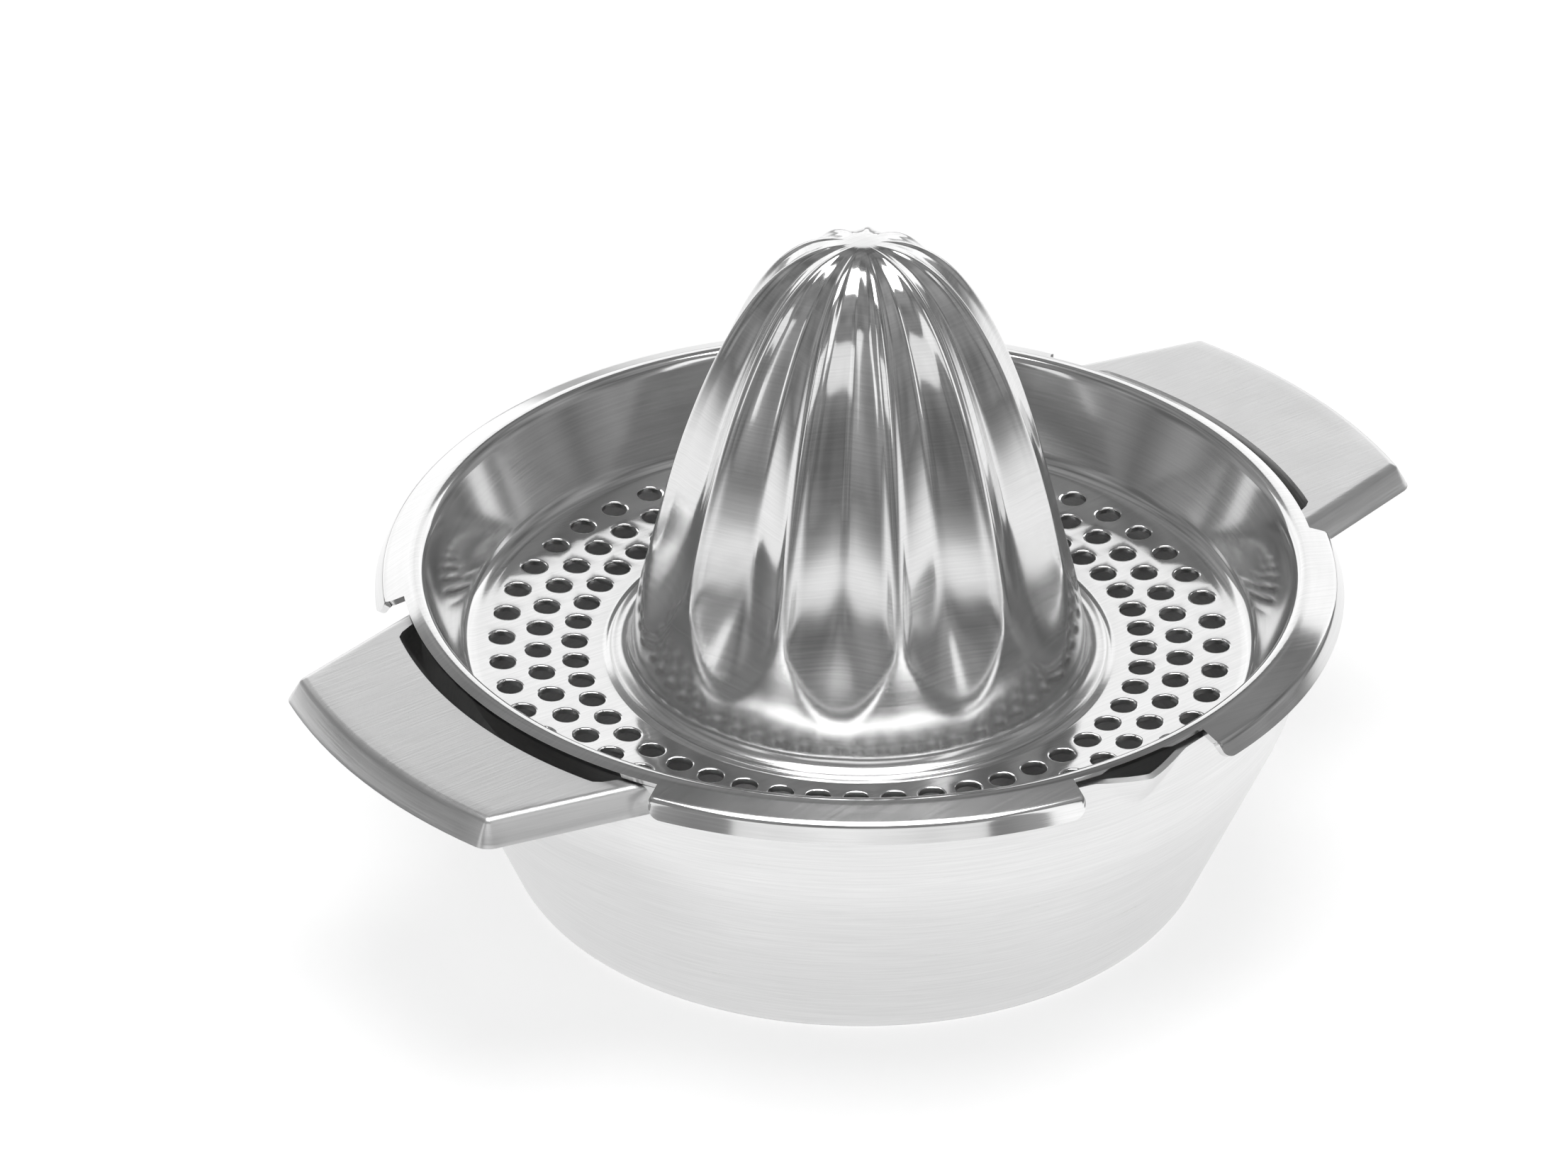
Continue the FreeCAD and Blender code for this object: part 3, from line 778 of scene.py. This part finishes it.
def steel_marks_group():
    """A group that turns a place on the steel into a height, a roughness and a tint.

    Lines run round the object: noise squeezed along Z on the walls, and along Y on level
    faces, mixed by |normal's Z|^6. Waves are a large soft noise, and the roughness changes
    with the lines and with patches of a middling noise."""
    group = bpy.data.node_groups.new("steel_marks", "ShaderNodeTree")
    for name, kind, direction in MARKS_SOCKETS:
        group.interface.new_socket(name=name, in_out=direction, socket_type="NodeSocket" + kind)
    given = group.nodes.new("NodeGroupInput").outputs
    result = group.nodes.new("NodeGroupOutput").inputs
    geometry = group.nodes.new("ShaderNodeNewGeometry")
    normal = group.nodes.new("ShaderNodeSeparateXYZ")
    group.links.new(geometry.outputs["Normal"], normal.inputs["Vector"])
    choose = group.nodes.new("ShaderNodeMix")
    level = maths(group, "POWER", maths(group, "ABSOLUTE", normal.outputs["Z"]), 6.0)
    group.links.new(level, choose.inputs["Factor"])
    group.links.new(lines(group, given["Place"], ROUND_LINES), choose.inputs["A"])
    group.links.new(lines(group, given["Place"], LEVEL_LINES), choose.inputs["B"])
    line = choose.outputs["Result"]
    wave = noise(group, given["Place"], WAVE_SCALE, 1.0)
    patch = noise(group, given["Place"], PATCH_SCALE, 2.0)
    height = maths(group, "ADD", maths(group, "MULTIPLY", line, given["Line height"]),
                   maths(group, "MULTIPLY", wave, given["Wave height"]))
    change = maths(group, "MULTIPLY", maths(group, "SUBTRACT", maths(group, "ADD", line, patch), 1.0),
                   given["Roughness change"])
    group.links.new(height, result["Height"])
    group.links.new(maths(group, "ADD", given["Roughness"], change), result["Surface roughness"])
    group.links.new(maths(group, "MULTIPLY_ADD", line, TINT_CHANGE, TINT_LEAST), result["Tint"])
    return group


steel_marks = steel_marks_group()
print("the marks group has", len(steel_marks.nodes), "nodes")

# %% A steel material
REAMER_EDGE = (0.034, 0.039)
HAZE_HEIGHTS = (0.045, 0.075)


def fade_between(tree, value, start, end, low, high):
    """A smooth change from low to high as a value goes from start to end."""
    node = tree.nodes.new("ShaderNodeMapRange")
    node.interpolation_type = "SMOOTHSTEP"
    for socket, number in (("From Min", start), ("From Max", end), ("To Min", low), ("To Max", high)):
        node.inputs[socket].default_value = number
    tree.links.new(value, node.inputs["Value"])
    return node.outputs["Result"]


def distance_from_axis(tree, place):
    """The length of a place's X and Y part."""
    flat = tree.nodes.new("ShaderNodeVectorMath")
    flat.operation = "MULTIPLY"
    flat.inputs[1].default_value = (1, 1, 0)
    length = tree.nodes.new("ShaderNodeVectorMath")
    length.operation = "LENGTH"
    tree.links.new(place, flat.inputs[0])
    tree.links.new(flat.outputs["Vector"], length.inputs[0])
    return length.outputs["Value"]


def reamer_haze(tree, place, haze, roughness):
    """A roughness that grows by haze on the reamer's foot, where a polishing wheel hardly gets in."""
    parts = tree.nodes.new("ShaderNodeSeparateXYZ")
    tree.links.new(place, parts.inputs["Vector"])
    on_reamer = fade_between(tree, distance_from_axis(tree, place), *REAMER_EDGE, haze, 0.0)
    low_down = fade_between(tree, parts.outputs["Z"], *HAZE_HEIGHTS, 1.0, 0.0)
    return maths(tree, "MULTIPLY_ADD", on_reamer, low_down, roughness)


def steel(name, grey, roughness, roughness_change, line_height, wave_height, haze=0.0):
    """A steel material: a metal whose roughness, tint and bump come from the marks group."""
    material = bpy.data.materials.new(name)
    material.use_nodes = True
    tree = material.node_tree
    shader = tree.nodes["Principled BSDF"]
    shader.inputs["Metallic"].default_value = 1.0
    place = tree.nodes.new("ShaderNodeTexCoord").outputs["Object"]
    marks = tree.nodes.new("ShaderNodeGroup")
    marks.node_tree = steel_marks
    tree.links.new(place, marks.inputs["Place"])
    for socket, value in (("Line height", line_height), ("Wave height", wave_height),
                          ("Roughness", roughness), ("Roughness change", roughness_change)):
        marks.inputs[socket].default_value = value
    if haze:
        tree.links.new(reamer_haze(tree, place, haze, roughness), marks.inputs["Roughness"])
    tint = tree.nodes.new("ShaderNodeMix")
    tint.data_type = "RGBA"
    tint.blend_type = "MULTIPLY"
    tint.inputs["Factor"].default_value = 1.0
    tint.inputs["A"].default_value = (grey, grey, grey, 1.0)
    tree.links.new(marks.outputs["Tint"], tint.inputs["B"])
    tree.links.new(tint.outputs["Result"], shader.inputs["Base Color"])
    tree.links.new(marks.outputs["Surface roughness"], shader.inputs["Roughness"])
    bump = tree.nodes.new("ShaderNodeBump")
    bump.inputs["Strength"].default_value = 1.0
    bump.inputs["Distance"].default_value = MM
    tree.links.new(marks.outputs["Height"], bump.inputs["Height"])
    tree.links.new(bump.outputs["Normal"], shader.inputs["Normal"])
    return material


satin_steel = steel("satin_steel", grey=0.77, roughness=0.32, roughness_change=0.12,
                    line_height=0.014, wave_height=0.02)
mirror_steel = steel("mirror_steel", grey=0.76, roughness=0.10, roughness_change=0.05,
                     line_height=0.0008, wave_height=0.10, haze=0.08)
bowl.data.materials.append(satin_steel)
strainer.data.materials.append(mirror_steel)
print("finishes:", bowl.data.materials[0].name, "and", strainer.data.materials[0].name)

# %% [markdown]
# ## Floor and light
#
# Bright steel shows only what is round it, so the light is built as things to be
# reflected. The floor is a white sheet lit from below, which fills the leaning wall.
# A wide soft light overhead whitens what faces up, a low one behind gives the rims
# their shine, and the dim grey room gives the mirror its darker tones. Lamps alone
# would leave white points in a black mirror.

# %% The lit floor
FLOOR_SIDE = 3.0
FLOOR_GREY = 0.6
GLOW = 0.62
GLOW_NEAR = 0.30
GLOW_FAR = 0.95


def make_floor():
    """A wide pale floor under the juicer, lit from below like a light table.

    The glow is GLOW near the juicer and fades out between GLOW_NEAR and GLOW_FAR from it."""
    corners = [(x * FLOOR_SIDE, y * FLOOR_SIDE, 0) for x, y in ((-1, -1), (1, -1), (1, 1), (-1, 1))]
    mesh = bpy.data.meshes.new("floor")
    mesh.from_pydata(corners, [], [(0, 1, 2, 3)])
    floor = bpy.data.objects.new("floor", mesh)
    bpy.context.scene.collection.objects.link(floor)
    acrylic = bpy.data.materials.new("white_acrylic")
    acrylic.use_nodes = True
    tree = acrylic.node_tree
    shader = tree.nodes["Principled BSDF"]
    shader.inputs["Base Color"].default_value = (FLOOR_GREY, FLOOR_GREY, FLOOR_GREY, 1)
    shader.inputs["Roughness"].default_value = 0.9
    shader.inputs["Specular IOR Level"].default_value = 0.1
    shader.inputs["Emission Color"].default_value = (1, 1, 1, 1)
    reach = distance_from_axis(tree, tree.nodes.new("ShaderNodeTexCoord").outputs["Object"])
    tree.links.new(fade_between(tree, reach, GLOW_NEAR, GLOW_FAR, GLOW, 0.0),
                   shader.inputs["Emission Strength"])
    mesh.materials.append(acrylic)
    return floor


print("made the", make_floor().name)

# %% The room
ROOM_SCALE = 2.6
DARK_TONE = (0.34, 0.14)
LIGHT_TONE = (0.68, 0.38)


def make_room():
    """A dim room round the juicer, lighter and darker in large soft patches.

    A tone is (place on the ramp, grey)."""
    room = bpy.data.worlds.new("room")
    bpy.context.scene.world = room
    room.use_nodes = True
    tree = room.node_tree
    tones = tree.nodes.new("ShaderNodeValToRGB")
    for element, (position, grey) in zip(tones.color_ramp.elements, (DARK_TONE, LIGHT_TONE)):
        element.position, element.color = position, (grey, grey, grey, 1)
    place = tree.nodes.new("ShaderNodeTexCoord").outputs["Object"]
    tree.links.new(noise(tree, place, ROOM_SCALE, 2.0), tones.inputs["Fac"])
    tree.links.new(tones.outputs["Color"], tree.nodes["Background"].inputs["Color"])
    return room


print("made the", make_room().name)

# %% The lights
VIEW_TURN = 53.3
LIGHTS = (("overhead", VIEW_TURN + 180, 86, 1.1, 0.75, 0.62, 4.0),
          ("backdrop", VIEW_TURN, 17.5, 1.7, 3.0, 1.08, 1.0),
          ("front_card", VIEW_TURN + 180, 28, 1.7, 1.7, 0.5, 0.7),
          ("left_strip", VIEW_TURN + 128, 22, 1.6, 0.3, 0.8, 0.8),
          ("right_strip", VIEW_TURN - 132, 30, 1.6, 0.3, 1.1, 0.9))


def direction(turn, rise):
    """The unit vector at a turn about Z and a rise above level, in degrees."""
    turn, rise = math.radians(turn), math.radians(rise)
    return Vector((math.cos(rise) * math.cos(turn), math.cos(rise) * math.sin(turn), math.sin(rise)))


def soft_light(name, turn, rise, distance, wide, tall, brightness):
    """A rectangular soft light, faced towards the juicer from a turn and rise in degrees.

    Its power is pi * area * brightness, so brightness is what a mirror shows of it."""
    data = bpy.data.lights.new(name, "AREA")
    data.shape = "RECTANGLE"
    data.size, data.size_y = wide, tall
    data.energy = math.pi * wide * tall * brightness
    light = bpy.data.objects.new(name, data)
    bpy.context.scene.collection.objects.link(light)
    away = direction(turn, rise)
    light.location = Vector((0, 0, FLOOR_HEIGHT * MM)) + away * distance
    light.rotation_euler = away.to_track_quat("Z", "Y").to_euler()


for light_sizes in LIGHTS:
    soft_light(*light_sizes)
bpy.context.scene.view_settings.view_transform = "Standard"
print(len(LIGHTS), "soft lights placed")

# %% [markdown]
# ## The camera
#
# A long lens from well back keeps the rims' ellipses nearly parallel. A camera can
# be placed by hand and pointed with a constraint, but here it is placed by angles
# round the reamer's axis, so that it can be reasoned about.

# %% Camera
VIEW_RISE = 31.41
VIEW_ROLL = math.radians(0.27)
VIEW_DISTANCE = 1279.8
AIM_LEFT = 10.9
AIM_UP = 7.98
LENS = 202.0


def make_camera():
    """A camera VIEW_RISE above level that looks along VIEW_TURN, aimed beside the axis."""
    forward = -direction(VIEW_TURN + 180, VIEW_RISE)
    level_right = forward.cross(Vector((0, 0, 1))).normalized()
    level_up = level_right.cross(forward)
    right = level_right * math.cos(VIEW_ROLL) + level_up * math.sin(VIEW_ROLL)
    up = right.cross(forward)
    aim = Vector((0, 0, FLOOR_HEIGHT * MM)) - right * AIM_LEFT * MM + up * AIM_UP * MM
    data = bpy.data.cameras.new("camera")
    data.lens = LENS
    data.sensor_width = 36.0
    data.clip_end = 20.0
    camera = bpy.data.objects.new("camera", data)
    bpy.context.scene.collection.objects.link(camera)
    turned_to = Matrix((right, up, -forward)).transposed().to_4x4()
    camera.matrix_world = Matrix.Translation(aim - forward * VIEW_DISTANCE * MM) @ turned_to
    bpy.context.scene.camera = camera
    return camera


print("the camera stands at", [round(value, 3) for value in make_camera().matrix_world.translation])

# %% [markdown]
# ## Bodies
#
# On the real juicer the strainer just lifts out, so each sheet rides on its own
# body, and its CAD node is hidden.

# %% Bind the pieces
for piece, body, node in ((strainer, "strainer", "strainer_insert"), (bowl, "bowl", "juice_bowl")):
    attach(piece, body)
    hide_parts(node)
    print(piece.name, "rides on", body)
